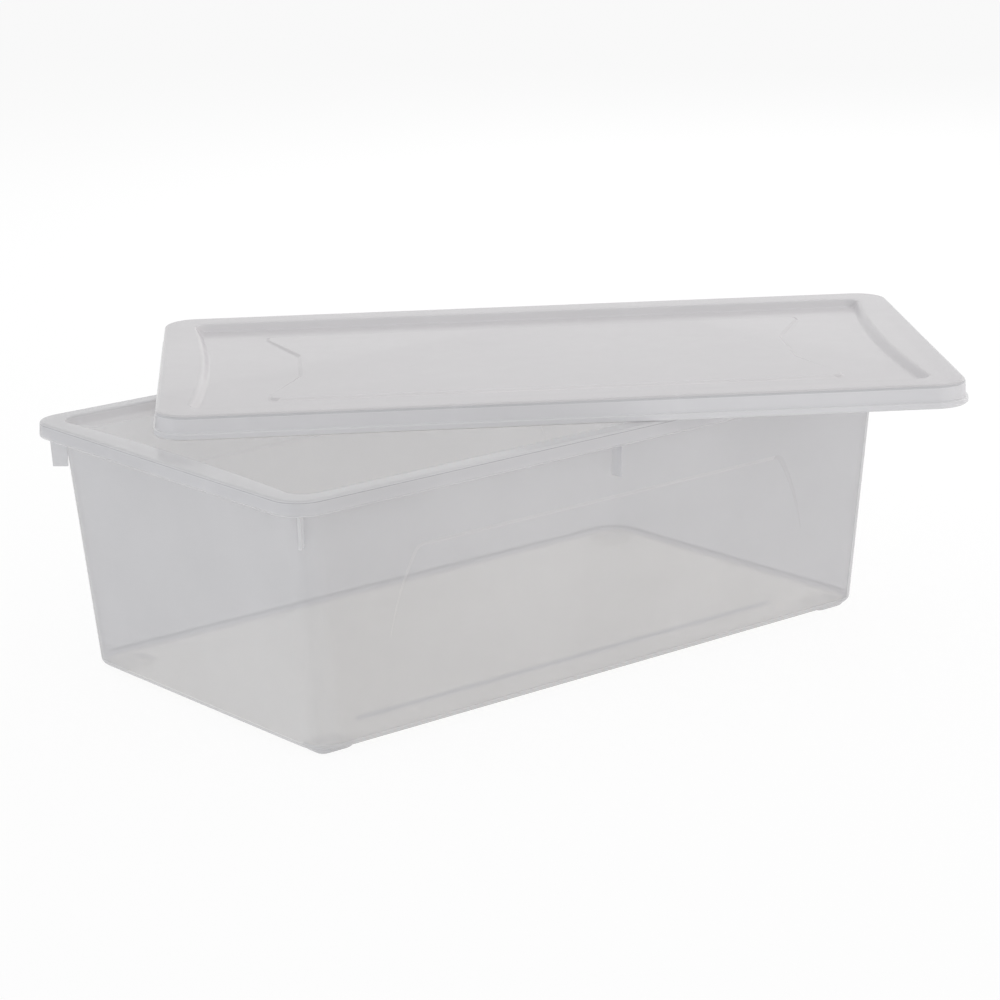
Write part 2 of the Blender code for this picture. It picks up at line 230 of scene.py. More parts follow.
def round_corners(corners: Sequence[Pair], radius: float, steps: int = 5) -> list[Pair]:
    """Round off the corners of a flat outline.

    Args:
        corners: The outline's sharp corners.
        radius: About the radius of each arc.
        steps: How many stretches each arc is drawn in.

    Returns:
        The points of the rounded outline, as many for each corner.
    """
    points: list[Pair] = []
    for index, corner in enumerate(corners):
        here = Vector(corner)
        before = (Vector(corners[index - 1]) - here).normalized()
        after = (Vector(corners[(index + 1) % len(corners)]) - here).normalized()
        reach = radius / math.tan(before.angle(after) / 2)
        for step in range(steps + 1):
            share = step / steps
            start = here + before * reach * (1 - share)
            end = here + after * reach * share
            point = start.lerp(end, share)
            points.append((point.x, point.y))
    return points


class Skin:
    """A closed skin of faces, drawn loop by loop in a bmesh."""

    MERGE_DISTANCE = 1e-7

    def __init__(self) -> None:
        """Start with an empty mesh."""
        self.mesh = bmesh.new()
        self.loop: list[BMVert] = []
        self.zone = Zone.WALL

    def ring(self, points: Sequence[Vector]) -> list[BMVert]:
        """Lay a closed ring of vertices on a run of points and make it the open loop.

        Args:
            points: Where the ring's vertices go, in order.

        Returns:
            The ring's vertices.
        """
        made = bmesh.ops.create_circle(self.mesh, segments=len(points), radius=1.0, cap_ends=False)
        self.loop = list(made["verts"])
        for vert, point in zip(self.loop, points):
            vert.co = point
        return self.loop

    def edges(self, loop: Sequence[BMVert]) -> list[BMEdge]:
        """Return the edges round a loop of vertices."""
        return [self.mesh.edges.get((loop[index - 1], vert)) for index, vert in enumerate(loop)]

    def paint(self, made: Iterable[object]) -> None:
        """Give the faces among some geometry the zone in use.

        Args:
            made: The geometry.
        """
        for item in made:
            if isinstance(item, BMFace):
                item.material_index = self.zone.value

    def repaint(self, old: Zone, new: Zone, chosen: Callable[[Vector], bool]) -> None:
        """Give some of the faces of one zone another.

        Args:
            old: The zone that they have.
            new: The zone that they get.
            chosen: Tells by a face's middle whether it is one of them.
        """
        for face in self.mesh.faces:
            if face.material_index == old.value and chosen(face.calc_center_median()):
                face.material_index = new.value

    def extend(self, points: Sequence[Vector]) -> None:
        """Extrude the open loop to a run of points.

        Args:
            points: Where the new loop's vertices go, as many as the open loop has.
        """
        made = bmesh.ops.extrude_edge_only(self.mesh, edges=self.edges(self.loop))
        self.paint(made["geom"])
        fresh = {item for item in made["geom"] if isinstance(item, BMVert)}
        for index, vert in enumerate(self.loop):
            neighbours = [edge.other_vert(vert) for edge in vert.link_edges]
            self.loop[index] = next(other for other in neighbours if other in fresh)
        for vert, point in zip(self.loop, points):
            vert.co = point

    def run(self, loops: Iterable[Section]) -> None:
        """Extrude the open loop through a list of sections, each with its zone."""
        for self.zone, points in loops:
            self.extend(points)

    def close(self) -> None:
        """Fill the open loop with one face."""
        self.paint([self.mesh.faces.new(self.loop)])

    def fill_round(self, border: Sequence[BMEdge], holes: Sequence[Sequence[Vector]]) -> list[list[BMVert]]:
        """Fill a flat area but for some holes.

        Args:
            border: The edges round the area.
            holes: The points of each hole's edge.

        Returns:
            The ring of vertices round each hole.
        """
        rings = [self.ring(points) for points in holes]
        edges = list(border)
        for ring in rings:
            edges += self.edges(ring)
        made = bmesh.ops.triangle_fill(self.mesh, use_beauty=True, use_dissolve=False, edges=edges)
        self.paint(made["geom"])
        return rings

    def open_face(self, nearest: Vector) -> list[BMEdge]:
        """Take out the face that lies nearest to a point.

        Args:
            nearest: A point close to the middle of the face.

        Returns:
            The edges round the gap.
        """
        face = min(self.mesh.faces, key=lambda f: (f.calc_center_median() - nearest).length)
        border = list(face.edges)
        bmesh.ops.delete(self.mesh, geom=[face], context="FACES_ONLY")
        return border

    def finish(self, name: str, materials: Sequence[Material]) -> Object:
        """Turn the skin into an object with its faces pointing outwards.

        Args:
            name: The object's name.
            materials: The materials of the zones, in their order.

        Returns:
            The object, linked to the scene.
        """
        bmesh.ops.remove_doubles(self.mesh, verts=self.mesh.verts, dist=self.MERGE_DISTANCE)
        bmesh.ops.recalc_face_normals(self.mesh, faces=self.mesh.faces)
        return add_mesh(name, self.mesh, materials)


@dataclass(frozen=True)
class Plate:
    """A thin upright plate that stands out from a wall.

    Attributes:
        root: Where its upper inner corner stands, in plan.
        direction: The way it stands out, in degrees from +X.
        outline: Its (reach, height) corners.
        thickness: Its thickness.
        zone: The zone of its faces.
    """

    root: Pair
    direction: float
    outline: tuple[Pair, ...]
    thickness: float
    zone: Zone = Zone.PLATE

    def add_to(self, mesh: BMesh) -> None:
        """Add the plate to a mesh as a closed slab.

        Args:
            mesh: The bmesh that takes it. Its faces so far are tagged.
        """
        angle = math.radians(self.direction)
        along = Vector((math.cos(angle), math.sin(angle), 0))
        across = Vector((-along.y, along.x, 0)) * self.thickness
        base = Vector((self.root[0], self.root[1], 0)) - across / 2
        spots = [base + along * reach + Vector((0, 0, height)) for reach, height in self.outline]
        face = mesh.faces.new([mesh.verts.new(spot) for spot in spots])
        made = bmesh.ops.extrude_face_region(mesh, geom=[face])
        moved = [item for item in made["geom"] if isinstance(item, BMVert)]
        bmesh.ops.translate(mesh, verts=moved, vec=across)
        for face in mesh.faces:
            if not face.tag:
                face.material_index = self.zone.value
                face.tag = True


def join_plates(target: Object, plates: Sequence[Plate]) -> None:
    """Mould a set of plates onto a piece, so that both are one closed skin.

    Args:
        target: The piece that the plates stand on. Its mesh is replaced.
        plates: The plates.
    """
    mesh = bmesh.new()
    for plate in plates:
        plate.add_to(mesh)
    bmesh.ops.recalc_face_normals(mesh, faces=mesh.faces)
    tool = add_mesh("plates", mesh, target.data.materials)
    modifier = target.modifiers.new("plates", "BOOLEAN")
    modifier.operation = "UNION"
    modifier.solver = "EXACT"
    modifier.object = tool
    graph = bpy.context.evaluated_depsgraph_get()
    joined = bpy.data.meshes.new_from_object(target.evaluated_get(graph))
    target.modifiers.clear()
    target.data = joined
    bpy.data.objects.remove(tool, do_unlink=True)


@dataclass(frozen=True)
class NotchedPanel:
    """A long flat panel, raised a little, whose two ends are notched towards its middle.

    Attributes:
        length: Its size along X.
        width: Its size along Y.
        rise: How far it stands above what lies round it.
        slope: How wide its sloping edge is.
        lines: The part of the sloping edge that is painted as a dark line of shade.
        softer: How many times wider the sloping edge is along the sides.
        blend: The zone of the rest of the sloping edge, whose colour hides its line.
        notch_depth: How far a notch reaches in from its end.
        notch_mouth: Its width at the end.
        notch_bottom: Its width at its bottom.
        corner: Radius of the corners.
    """

    length: float
    width: float
    rise: float
    slope: float
    lines: Lines
    softer: float = 1.0
    blend: Zone = Zone.FLOOR
    notch_depth: float = 0.0145
    notch_mouth: float = 0.119
    notch_bottom: float = 0.041
    corner: float = 0.004

    STEPS = 4

    def outline(self, inset: float, height: float) -> list[Vector]:
        """Return the panel's edge.

        Args:
            inset: How far inside the foot of the sloping edge it runs.
            height: The points' Z.

        Returns:
            The points of the edge.
        """
        x, y = self.length / 2 - inset, self.width / 2 - inset * self.softer
        inner = x - self.notch_depth
        mouth, bottom = self.notch_mouth / 2 - inset, self.notch_bottom / 2 + inset
        right = [(x, -y), (x, -mouth), (inner, -bottom), (inner, bottom), (x, mouth), (x, y)]
        left = [(-px, py) for px, py in reversed(right)]
        return [Vector((px, py, height)) for px, py in round_corners(right + left, self.corner)]

    def raise_on(self, skin: Skin, ring: list[BMVert], inset: float, height: float) -> None:
        """Draw the panel from its edge on a flat face: the sloping edge, then its flat middle.

        Args:
            skin: The skin being drawn.
            ring: The ring of vertices at the foot of the sloping edge.
            inset: How far inside the panel's edge that ring runs.
            height: The flat face's Z.
        """
        skin.loop = ring
        # The sloping edge is painted as a dark line of shade; the part that shouldn't show is then repainted
        # to blend in.
        flat, skin.zone = skin.zone, Zone.SHADE_LINE
        for step in range(1, self.STEPS + 1):
            share = step / self.STEPS
            skin.extend(self.outline(inset + self.slope * share, height + self.rise * ease(share)))
        shows = self.lines is Lines.ENDS
        skin.repaint(Zone.SHADE_LINE, self.blend, lambda middle: self.is_end(middle) != shows)
        skin.zone = flat
        skin.close()

    def is_end(self, middle: Vector) -> bool:
        """Return whether a face of the sloping edge belongs to one of the notched ends."""
        return abs(middle.x) > self.length / 2 - self.notch_depth - self.slope * 2


@dataclass(frozen=True)
class Foot:
    """A hollow foot pressed down under one corner of the base.

    Attributes:
        centre: Its middle in plan.
        half_length: Half its size along X.
        half_width: Half its size along Y.
        drop: How far it stands below the base.
        corner: Radius of its corners.
        taper: How much narrower its sole is on each side.
    """

    centre: Pair
    half_length: float = 0.0098
    half_width: float = 0.008
    drop: float = 0.0025
    corner: float = 0.0055
    taper: float = 0.0022

    STEPS = 5
    FULLNESS = 1.2

    def outline(self, inset: float, height: float) -> list[Vector]:
        """Return the foot's outline.

        Args:
            inset: How far it is set in.
            height: The points' Z.

        Returns:
            The points of the outline.
        """
        x, y = self.half_length - inset, self.half_width - inset
        corners = [(-x, -y), (x, -y), (x, y), (-x, y)]
        points = round_corners(corners, self.corner - inset)
        return [Vector((self.centre[0] + px, self.centre[1] + py, height)) for px, py in points]

    def press_into(self, skin: Skin, ring: list[BMVert], inset: float, height: float) -> None:
        """Draw the foot down from a ring on a flat face.

        Args:
            skin: The skin being drawn.
            ring: The ring of vertices round the foot.
            inset: How far inside the foot's outline that ring runs.
            height: The flat face's Z.
        """
        skin.loop = ring
        # Seen from inside, the hollow of the foot is painted dark as shade.
        skin.zone = Zone.SHADE_LINE if inset else Zone.HEEL
        for step in range(1, self.STEPS + 1):
            share = step / self.STEPS
            turn = math.pi / 2 * share
            depth = self.drop * math.sin(turn) ** self.FULLNESS
            skin.extend(self.outline(inset + self.taper * (1 - math.cos(turn)), height - depth))
        skin.close()


@dataclass(frozen=True)
class WallPanel:
    """The panel pressed into a long wall, deepest along its top and fading out below.

    Attributes:
        depth: How deep it is along its top.
        top: Height of its upper edge.
        fade: Height at which it has faded out.
        top_width: Its width along the upper edge.
        foot_width: Its width where it fades out.
        shift: How far its middle lies from the wall's.
        swell: How far its sides bulge.
        corner: Radius of its two upper corners.
        slope: How wide its sloping edge is.
    """

    depth: float = 0.0008
    top: float = 0.0855
    fade: float = 0.047
    top_width: float = 0.213
    foot_width: float = 0.241
    shift: float = -0.0025
    swell: float = 0.002
    corner: float = 0.007
    slope: float = 0.0019

    STEPS = 4
    SIDE_STEPS = 6
    CORNER_STEPS = 5
    FOOT_INSET_SHARE = 0.25
    FADE_INSET_SHARE = 0.1
    SHADE_SHARE = 0.3

    def outline(self, inset: float) -> list[Pair]:
        """Return the panel's edge.

        Args:
            inset: How far it is set in along the top.

        Returns:
            Its points as (x, height) pairs.
        """
        top_x, foot_x = self.top_width / 2 - inset, self.foot_width / 2 - inset * self.FOOT_INSET_SHARE
        top, foot = self.top - inset, self.fade + inset * self.FADE_INSET_SHARE
        side: list[Pair] = []
        for step in range(self.SIDE_STEPS + 1):
            share = step / self.SIDE_STEPS
            swell = self.swell * math.sin(math.pi * share)
            side.append((foot_x + (top_x - foot_x) * share + swell, foot + (top - foot) * share))
        left = [(-x, z) for x, z in reversed(side)]
        rounded = round_corners([*side[-2:], *left[:2]], self.corner - inset, self.CORNER_STEPS)
        skipped = self.CORNER_STEPS + 1
        return side[:-1] + rounded[skipped:-skipped] + left[1:]

    def loop(self, inset: float, share: float, place: Callable[[float, float], Vector]) -> list[Vector]:
        """Return one loop of the sloping edge.

        Args:
            inset: How far inside the panel's edge the loop runs.
            share: What share of the panel's depth the loop has.
            place: Gives the point of the plain wall at an x and a height.

        Returns:
            The loop's points.
        """
        points = []
        for x, z in self.outline(inset):
            sunk = self.depth * share * max(0.0, (z - self.fade) / (self.top - self.fade))
            point = place(x + self.shift, z)
            point.y -= math.copysign(sunk, point.y)
            points.append(point)
        return points

    def press_into(
        self, skin: Skin, border: list[BMEdge], place: Callable[[float, float], Vector], edge: Zone
    ) -> None:
        """Draw the panel in the gap that a wall's flat face has left.

        Args:
            skin: The skin being drawn.
            border: The edges round the gap.
            place: Gives the point of the plain wall at an x and a height.
            edge: The zone of its sloping edge.
        """
        skin.zone = Zone.WALL
        skin.fill_round(border, [self.loop(0.0, 0.0, place)])
        # On the outer face the slope is painted a little lighter, as the light line that it shows.
        skin.zone = edge
        for step in range(1, self.STEPS + 1):
            share = step / self.STEPS
            skin.extend(self.loop(self.slope * share, ease(share), place))
        skin.zone = Zone.WALL
        skin.close()
        low = self.fade + self.slope * self.FADE_INSET_SHARE
        skin.repaint(Zone.STEP, Zone.WALL, lambda middle: middle.z < low)
        # The right part of the slope is painted darker as shade.
        right = self.shift + self.top_width * self.SHADE_SHARE
        skin.repaint(Zone.STEP, Zone.SHADE, lambda middle: middle.x > right)


@dataclass(frozen=True)
class Tub:
    """The open tub: drafted walls, rolled rim, webs under the flange, feet and panels."""

    wall: float = 0.0015
    height: float = 0.117
    foot_height: float = 0.0025
    rim_half: Pair = (0.1776, 0.10195)
    rim_radius: float = 0.0138
    rim_edge: float = 0.0012
    skirt_drop: float = 0.007
    skirt_flare: float = 0.0003
    skirt_edge: float = 0.000375
    skirt_band: float = 0.0009
    mouth_half: Pair = (0.1681, 0.09295)
    mouth_radius: float = 0.009
    mouth_edge: float = 0.0009
    mouth_bow: float = 0.0038
    base_half: Pair = (0.16065, 0.08855)
    base_radius: float = 0.014
    heel: float = 0.003
    floor_edge: float = 0.002
    foot_inset: float = 0.0045
    web_drop: float = 0.0218
    web_reach: Pair = (0.0058, 0.005)
    web_thickness: float = 0.0012
    gusset_spacing: float = 0.0732
    gusset_thickness: float = 0.001
    plate_bite: float = 0.0005
    floor_panel: NotchedPanel = NotchedPanel(
        length=0.257, width=0.132, rise=0.001, slope=0.0024, lines=Lines.SIDES
    )
    wall_panel: WallPanel = WallPanel()

    CORNER_MIDDLE = 3.0

    def rim(self, grow: float) -> Outline:
        """Return the rim's section, set outwards by a distance."""
        return Outline(self.rim_half[0], self.rim_half[1], self.rim_radius).grown(grow)

    def wall_outline(self, height: float, inset: float = 0.0) -> Outline:
        """Return the outer wall's section.

        Args:
            height: The section's Z.
            inset: How far inside the wall's outer face it runs.

        Returns:
            The outline of the section.
        """
        rise = (height - self.foot_height) / (self.height - self.foot_height)
        mouth_length, mouth_width = self.mouth_half[0] + self.wall, self.mouth_half[1] + self.wall
        outline = Outline(
            half_length=self.base_half[0] + (mouth_length - self.base_half[0]) * rise,
            half_width=self.base_half[1] + (mouth_width - self.base_half[1]) * rise,
            radius=self.base_radius + (self.mouth_radius + self.wall - self.base_radius) * rise,
            bow=self.mouth_bow * rise,
        )
        return outline.grown(-inset)

    def wall_loop(self, height: float, inset: float = 0.0) -> list[Vector]:
        """Return the points of the wall's section at a height, set in by a distance."""
        return self.wall_outline(height, inset).at(height)

    def feet(self) -> list[Foot]:
        """Return the feet under the four corners.

        Returns:
            The feet.
        """
        x = self.base_half[0] - self.foot_inset - Foot.half_length
        y = self.base_half[1] - self.foot_inset - Foot.half_width
        return [Foot(centre=(sx * x, sy * y), drop=self.foot_height) for sx, sy in FOUR_CORNERS]

    def outside(self) -> list[Section]:
        """Return the loops from the rounded heel up the outer wall and round the skirt's foot.

        Returns:
            The loops, each with its zone.
        """
        heel = Edge.TOP_TO_IN.arc(self.heel)[1:]
        loops = [(Zone.HEEL, self.wall_loop(self.foot_height + down, aside)) for aside, down in heel]
        under = self.height - self.wall
        loops.append((Zone.WALL, self.wall_loop(under)))
        foot = self.height - self.skirt_drop
        outer, inner, soft = self.skirt_flare, self.skirt_flare - self.wall, self.skirt_edge
        # The skirt's foot is painted lighter as a highlight along its edge.
        return loops + [
            (Zone.RIM, self.rim(-self.wall).at(under)),
            (Zone.SKIRT, self.rim(inner).at(foot + soft)),
            (Zone.BRIGHT, self.rim(inner + soft).at(foot)),
            (Zone.BRIGHT, self.rim(outer - soft).at(foot)),
            (Zone.BRIGHT, self.rim(outer).at(foot + soft)),
        ]

    def inside(self) -> list[Section]:
        """Return the loops over the rounded rim and down the inner wall to the floor.

        Returns:
            The loops, each with its zone.
        """
        band = self.height - self.skirt_drop + self.skirt_band
        # The skirt's inner band is painted lighter as a highlight.
        loops: list[Section] = [(Zone.BRIGHT, self.rim(self.skirt_flare).at(band))]
        # A thin dark line of painted shade runs along the rim's outer edge.
        zones = [Zone.SKIRT, Zone.EDGE_SHADE] + [Zone.RIM] * EDGE_STEPS
        for zone, (aside, down) in zip(zones, Edge.OUT_TO_TOP.arc(self.rim_edge)):
            loops.append((zone, self.rim(-aside).at(self.height - down)))
        for aside, down in Edge.TOP_TO_IN.arc(self.mouth_edge):
            loops.append((Zone.RIM, self.wall_loop(self.height - down, self.wall - aside)))
        # A band inside the wall under the rim is painted lighter against its shade.
        collar = self.height - self.skirt_drop
        loops.append((Zone.COLLAR, self.wall_loop(collar, self.wall)))
        floor = self.foot_height + self.wall
        # The floor's edge is painted dark as shade, and its lower steps lighter as a highlight.
        zones = [Zone.WALL, Zone.FILLET, Zone.FILLET] + [Zone.BRIGHT] * EDGE_STEPS
        for zone, (aside, down) in zip(zones, Edge.OUT_TO_TOP.arc(self.floor_edge)):
            loops.append((zone, self.wall_loop(floor + down, self.wall + aside)))
        return loops

    def draw_base(self, skin: Skin, border: list[BMEdge], inset: float, height: float) -> None:
        """Fill one face of the base round its panel and feet, and draw these.

        Args:
            skin: The skin being drawn.
            border: The edges round the face.
            inset: The wall's thickness on the side of the feet, or of the panel.
            height: The face's Z.
        """
        panel_inset = self.wall - inset
        holes = [self.floor_panel.outline(panel_inset, height)]
        holes += [foot.outline(inset, height) for foot in self.feet()]
        skin.zone = Zone.FLOOR
        rings = skin.fill_round(border, holes)
        self.floor_panel.raise_on(skin, rings[0], panel_inset, height)
        for foot, ring in zip(self.feet(), rings[1:]):
            foot.press_into(skin, ring, inset, height)

    def draw_wall_panels(self, skin: Skin, low: float, high: float, inset: float) -> None:
        """Press a panel into both long walls, on their outer or their inner face.

        Args:
            skin: The skin being drawn.
            low: Height of the flat wall's lower edge.
            high: Height of its upper edge.
            inset: How far inside the outer wall the face lies.
        """
        for sign in SIGNS:
            middle = (low + high) / 2
            centre = Vector((0, sign * (self.wall_outline(middle).half_width - inset), middle))
            border = skin.open_face(centre)

            def place(x: float, z: float, side: int = sign) -> Vector:
                """Return the plain wall's point at an x and a height."""
                return Vector((x, side * (self.wall_outline(z).half_width - inset), z))

            self.wall_panel.press_into(skin, border, place, Zone.WALL if inset else Zone.STEP)

    def is_side_corner(self, middle: Vector) -> bool:
        """Tell the middles of the two corners that are seen from the side.

        Args:
            middle: The middle of a face of the wall.

        Returns:
            Whether it lies there.
        """
        outline = self.wall_outline(middle.z)
        along = abs(middle.x) - outline.half_length + outline.radius
        across = abs(middle.y) - outline.half_width + outline.radius
        inside = min(along, across) * self.CORNER_MIDDLE > max(along, across)
        return inside and middle.x * middle.y < 0

    def is_near(self, middle: Vector) -> bool:
        """Return whether a face of the floor's edge lies at the front wall or the left end."""
        reach = self.wall + self.floor_edge + self.base_radius / 2
        return middle.x < reach - self.base_half[0] or middle.y < reach - self.base_half[1]

    def is_front(self, middle: Vector) -> bool:
        """Return whether a face near the rim doesn't lie along the back wall."""
        return middle.y <= self.mouth_half[1] - self.mouth_radius

    def plates(self) -> list[Plate]:
        """Return the webs under the flange and the gussets inside the skirt.

        Returns:
            The plates.
        """
        top = self.height - self.wall + self.plate_bite
        foot = self.height - self.web_drop
        skirt = self.height - self.skirt_drop
        mouth = self.wall_outline(self.height)
        root = self.wall_outline(foot).half_width - mouth.half_width - self.wall / 2
        upper, lower = self.web_reach
        web = ((root, foot), (lower, foot), (upper, skirt), (upper, top), (root, top))
        plates: list[Plate] = []
        for sign in SIGNS:
            place = (0.0, sign * mouth.half_width)
            plates.append(Plate(place, 90.0 * sign, web, self.web_thickness, Zone.RIB))
        slant = mouth.radius * (1 - math.sqrt(0.5))
        for sx, sy in FOUR_CORNERS:
            place = (sx * (mouth.half_length - slant), sy * (mouth.half_width - slant))
            turn = math.degrees(math.atan2(sy, sx))
            plates.append(Plate(place, turn, web, self.web_thickness, Zone.WEB))
        low = skirt + self.plate_bite
        y = self.gusset_spacing / 2
        start = self.wall_outline(low).end_x(y)
        inner, outer = -self.wall / 2, self.rim_half[0] - self.wall / 2 - start
        gusset = ((inner, low), (outer, low), (outer, top), (inner, top))
        for sx, sy in FOUR_CORNERS:
            turn = 0.0 if sx > 0 else 180.0
            plates.append(Plate((sx * start, sy * y), turn, gusset, self.gusset_thickness))
        return plates

    def build(self, materials: Sequence[Material]) -> Object:
        """Draw the tub round its own middle.

        Args:
            materials: The materials of the zones, in their order.

        Returns:
            The tub.
        """
        skin = Skin()
        under = skin.edges(skin.ring(self.wall_loop(self.foot_height, self.heel)))
        skin.run(self.outside())
        # Painted shade: the two corners that form the outline seen from the side are made denser and darker.
        skin.repaint(Zone.WALL, Zone.CORNER, self.is_side_corner)
        skin.run(self.inside())
        # The floor's edge keeps its painted dark shade at the back and the right, and is painted lighter as a
        # highlight at the front and left.
        skin.repaint(Zone.FILLET, Zone.BRIGHT, self.is_near)
        # The lighter band of painted light under the rim is kept only along the back wall.
        skin.repaint(Zone.COLLAR, Zone.WALL, self.is_front)
        floor = self.foot_height + self.wall
        self.draw_base(skin, skin.edges(skin.loop), self.wall, floor)
        self.draw_base(skin, under, 0.0, self.foot_height)
        self.draw_wall_panels(skin, self.foot_height + self.heel, self.height - self.wall, 0.0)
        self.draw_wall_panels(skin, floor + self.floor_edge, self.height - self.skirt_drop, self.wall)
        tub = skin.finish("tub_shell", materials)
        join_plates(tub, self.plates())
        return tub


@dataclass(frozen=True)
class Lid:
    """The loose lid: a stepped lip, a flat border and a stacking recess with bowed ends."""

    wall: float = 0.0015
    half: Pair = (0.1798, 0.10365)
    radius: float = 0.0155
    height: float = 0.0108
    edge: float = 0.0016
    draft: float = 0.0002
    lip_height: float = 0.0031
    lip_step: float = 0.0014
    lip_edge: float = 0.0005
    lip_band: float = 0.001
    border: Pair = (0.0138, 0.0141)
    recess_bow: float = 0.0056
    recess_radius: float = 0.007
    recess_depth: float = 0.0035
    recess_slope: float = 0.004
    recess_edge: float = 0.0008
    recess_dip: float = 0.0002
    gusset_spacing: float = 0.0984
    gusset_drop: float = 0.0071
    gusset_thickness: float = 0.001
    plate_bite: float = 0.0005
    # The lid panel's long slopes take the heel zone, painted lighter against their shade.
    panel: NotchedPanel = NotchedPanel(
        length=0.261, width=0.136, rise=0.0008, slope=0.002, lines=Lines.ENDS, softer=1.8, blend=Zone.HEEL
    )

    SLOPE_STEPS = 8

    def band(self, grow: float, height: float) -> list[Vector]:
        """Return a loop of the outer band, set outwards by a distance, at a height."""
        return Outline(self.half[0], self.half[1], self.radius).grown(grow).at(height)

    def recess(self, grow: float, height: float) -> list[Vector]:
        """Return a loop of the recess, set outwards by a distance, at a height."""
        length, width = self.half[0] - self.border[0], self.half[1] - self.border[1]
        return Outline(length, width, self.recess_radius, self.recess_bow).grown(grow).at(height)

    def slope(self) -> list[Pair]:
        """Return the recess wall's (share across, share up) steps from its foot to its top."""
        shares = [step / self.SLOPE_STEPS for step in range(self.SLOPE_STEPS + 1)]
        return [(share, ease(share)) for share in shares]

    def loops(self) -> list[Section]:
        """Return the loops from the underside, round the lip, to the recess floor.

        Returns:
            The loops, each with its zone.
        """
        floor = self.height - self.recess_depth
        under = self.height - self.wall
        loops: list[Section] = []
        for share, rise in self.slope():
            grow = self.wall / 2 - self.recess_slope * (1 - share)
            loops.append((Zone.WALL, self.recess(grow, floor - self.wall + self.recess_depth * rise)))
        half_edge, soft = self.edge / 2, self.lip_edge
        outer, inner = self.lip_step, self.lip_step + self.draft - self.wall
        shoulder = self.lip_height - self.wall
        # The lip's foot and edges are painted lighter as highlights.
        loops += [
            (Zone.WALL, self.band(-self.wall, under)),
            (Zone.RIM, self.band(self.draft - self.wall, shoulder)),
            (Zone.RIM, self.band(inner, shoulder - half_edge)),
            (Zone.RIM, self.band(inner, soft)),
            (Zone.BRIGHT, self.band(inner + soft, 0.0)),
            (Zone.BRIGHT, self.band(outer - soft, 0.0)),
            (Zone.BRIGHT, self.band(outer, soft)),
            (Zone.BRIGHT, self.band(outer, self.lip_band)),
        ]
        zones = [Zone.RIM] + [Zone.BRIGHT] * EDGE_STEPS
        for zone, (aside, down) in zip(zones, Edge.OUT_TO_TOP.arc(half_edge)):
            loops.append((zone, self.band(outer - aside, self.lip_height - down)))
        loops.append((Zone.BRIGHT, self.band(self.draft + half_edge / 2, self.lip_height)))
        loops.append((Zone.RIM, self.band(self.draft, self.lip_height + half_edge)))
        # A thin dark line of painted shade runs along the top edge, where it turns down.
        zones = [Zone.RIM, Zone.EDGE_SHADE, Zone.EDGE_SHADE] + [Zone.FLOOR] * EDGE_STEPS
        for zone, (aside, down) in zip(zones, Edge.OUT_TO_TOP.arc(self.edge)):
            loops.append((zone, self.band(-aside, self.height - down)))
        loops.append((Zone.WALL, self.recess(self.recess_edge, self.height)))
        for share, rise in reversed(self.slope()):
            z = floor + (self.recess_depth - self.recess_dip) * rise
            loops.append((Zone.STEP, self.recess(-self.recess_slope * (1 - share), z)))
        return loops

    def plates(self) -> list[Plate]:
        """Return the gussets in the channel under the border.

        Returns:
            The plates.
        """
        foot = self.height - self.gusset_drop
        top = self.height - self.wall + self.plate_bite
        floor = self.height - self.recess_depth
        inner = self.half[1] - self.border[1]
        outer = self.half[1] - self.wall / 2
        low = inner - self.recess_slope / 2
        shape = ((low, foot), (outer, foot), (outer, top), (inner, top), (low, floor))
        x = self.gusset_spacing / 2
        return [Plate((sx * x, 0.0), 90.0 * sy, shape, self.gusset_thickness) for sx, sy in FOUR_CORNERS]

    def build(self, materials: Sequence[Material]) -> Object:
        """Draw the lid round its own middle.

        Args:
            materials: The materials of the zones, in their order.

        Returns:
            The lid.
        """
        skin = Skin()
        loops = self.loops()
        under = skin.edges(skin.ring(loops[0][1]))
        skin.run(loops[1:])
        floor = self.height - self.recess_depth
        upper = skin.edges(skin.loop)
        skin.zone = Zone.WALL
        ring = skin.fill_round(upper, [self.panel.outline(0.0, floor)])[0]
        self.panel.raise_on(skin, ring, 0.0, floor)
        low = floor - self.wall
        ring = skin.fill_round(under, [self.panel.outline(self.wall, low)])[0]
        self.panel.raise_on(skin, ring, self.wall, low)
        # The recess's back slope is painted lighter, against the shade it would show.
        back = self.half[1] - self.border[1] - self.recess_slope
        skin.repaint(Zone.STEP, Zone.FILLET, lambda middle: middle.y > back)
        lid = skin.finish("lid_shell", materials)
        join_plates(lid, self.plates())
        return lid


